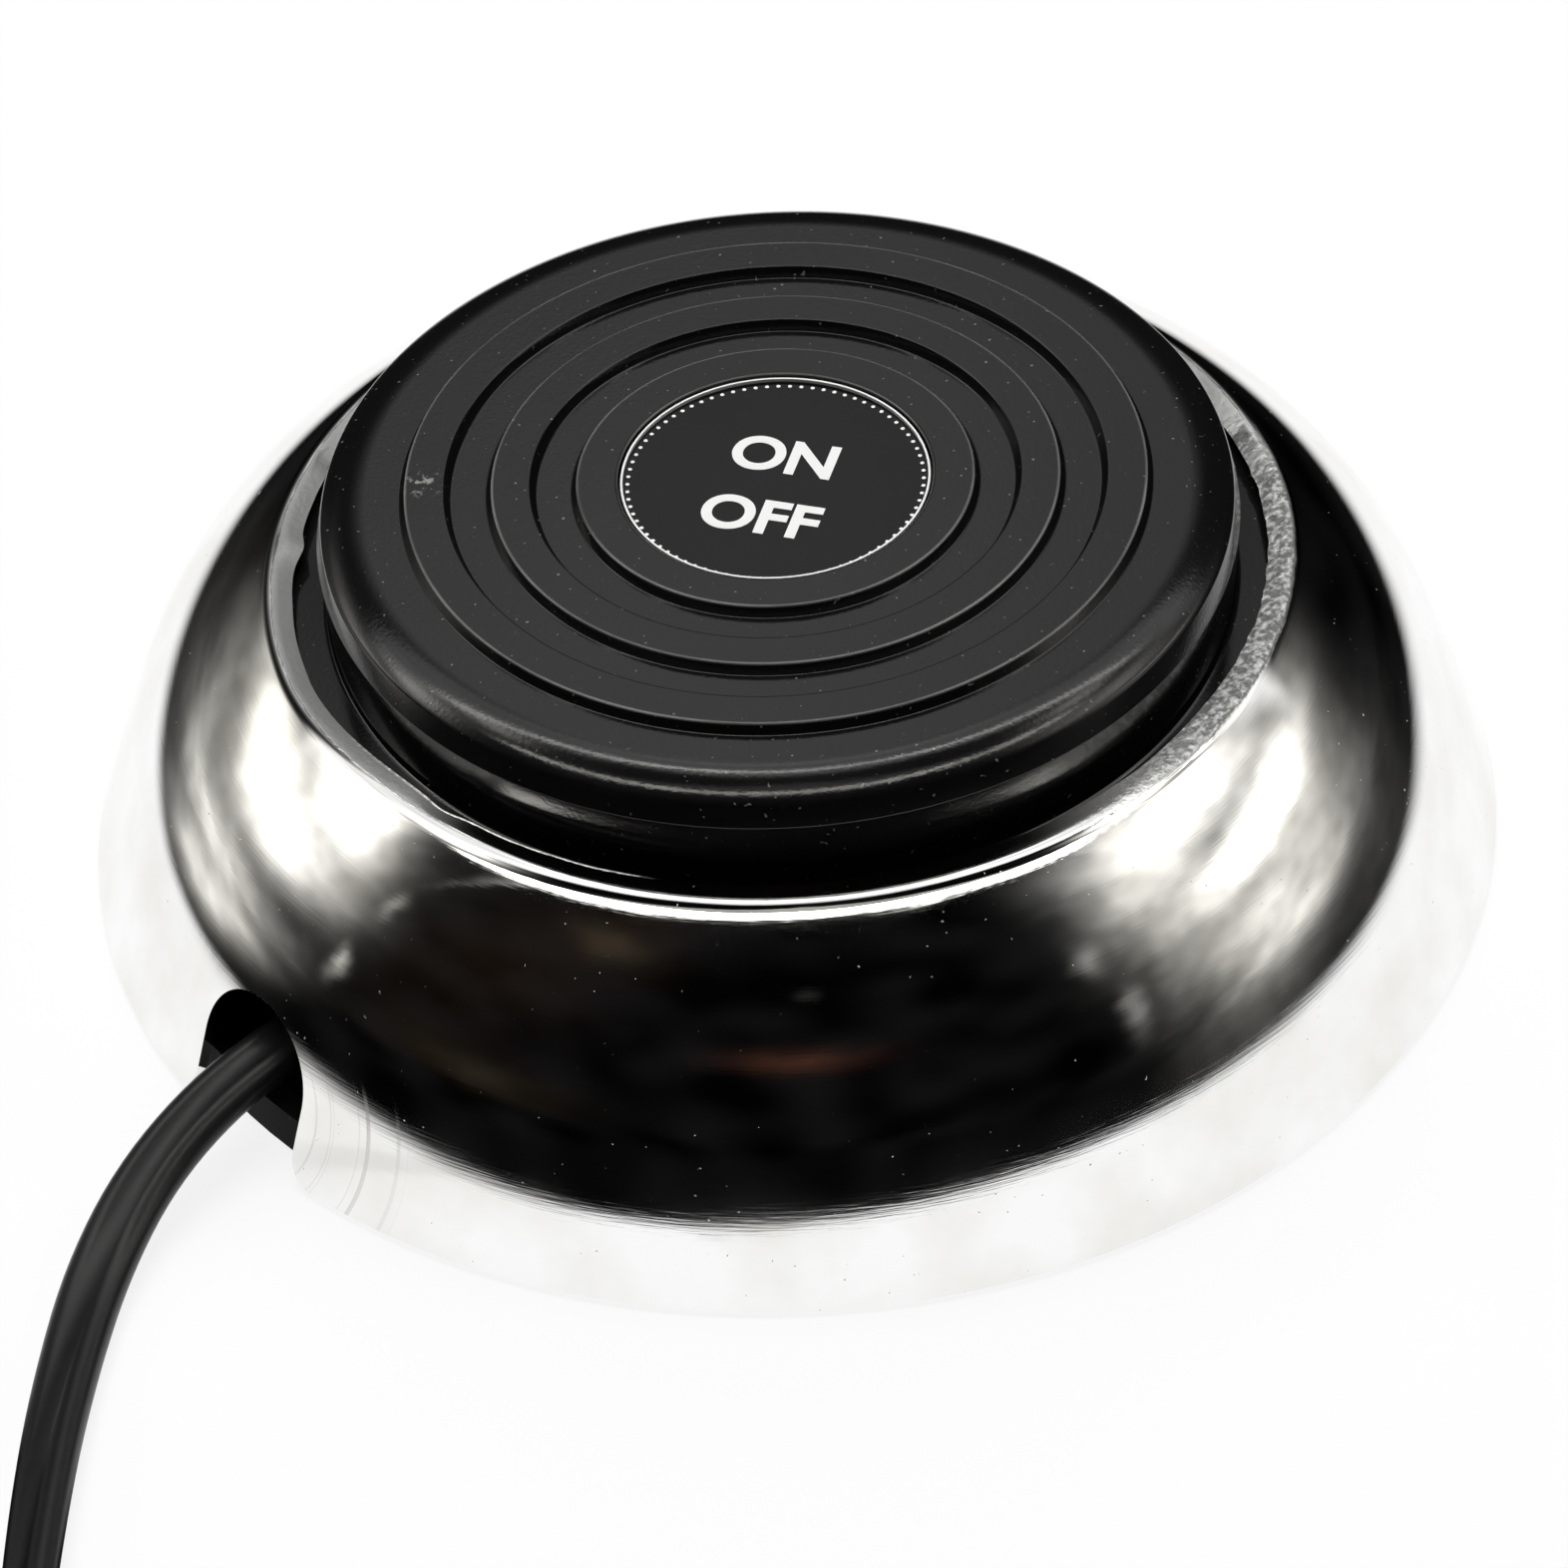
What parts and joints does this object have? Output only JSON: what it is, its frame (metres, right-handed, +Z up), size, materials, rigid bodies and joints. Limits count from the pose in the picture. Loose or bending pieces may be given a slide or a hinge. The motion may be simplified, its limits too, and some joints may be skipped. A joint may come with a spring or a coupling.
{
  "type": "foot switch",
  "caption": "Foot switch: a chromed dome round a ringed black pedal that sinks under the foot and springs back, on a flat cord with a piggyback plug.",
  "frame": {"origin": "on the floor under the dome's axis", "axes": "+Z up along the pedal's travel, -X towards the notch where the cord leaves"},
  "size_m": [0.2009, 0.1999, 0.0373],
  "materials": {
    "chrome": "spun steel sheet, polished and chromed, lightly scratched",
    "steel": "zinc-plated pressed steel and spring wire",
    "black_plastic": "moulded, semi-matte",
    "base_plastic": "moulded, matte",
    "phenolic": "moulded switch block",
    "nylon": "moulded, natural",
    "rubber": "moulded, matte",
    "label": "printed foil, gloss black with silver print",
    "brass": "stamped, bright",
    "cord": "extruded vinyl, slight sheen",
    "plug": "moulded vinyl"
  },
  "bodies": {
    "base": {"chrome_shell": "chrome", "shell_lugs": "steel", "base_plate": "base_plastic", "base_screws": "steel", "rubber_feet": "rubber", "return_spring": "steel", "switch_base": "phenolic", "switch_cover": "steel", "fixed_contact_left": "brass", "fixed_contact_right": "brass", "terminal_screws": "brass", "switch_screws": "steel", "switch_spring": "steel", "cord_clamp": "steel", "clamp_screws": "steel", "core_left": "cord", "core_right": "cord", "cord_lead": "cord", "cord_coil": "cord", "coil_tie": "cord", "cord_tail": "cord", "plug_body": "plug", "plug_contact_left": "brass", "plug_contact_right": "brass"},
    "pedal": {"foot_pedal": "black_plastic", "pedal_label": "label", "switch_plunger": "nylon"},
    "rotor": {"ratchet_rotor": "nylon", "contact_bridge": "brass"}
  },
  "joints": [
    {"name": "pedal_slide", "type": "slide", "parent": "base", "child": "pedal", "axis": [0, 0, -1], "range_m": [0, 0.004], "stiffness_N_per_m": 2500, "springref_m": -0.004, "deforming": ["return_spring", "switch_spring"]},
    {"name": "rotor_index", "type": "hinge", "parent": "base", "child": "rotor", "pos_m": [0, 0, 0.0084], "axis": [0, 0, 1], "continuous": true}
  ]
}
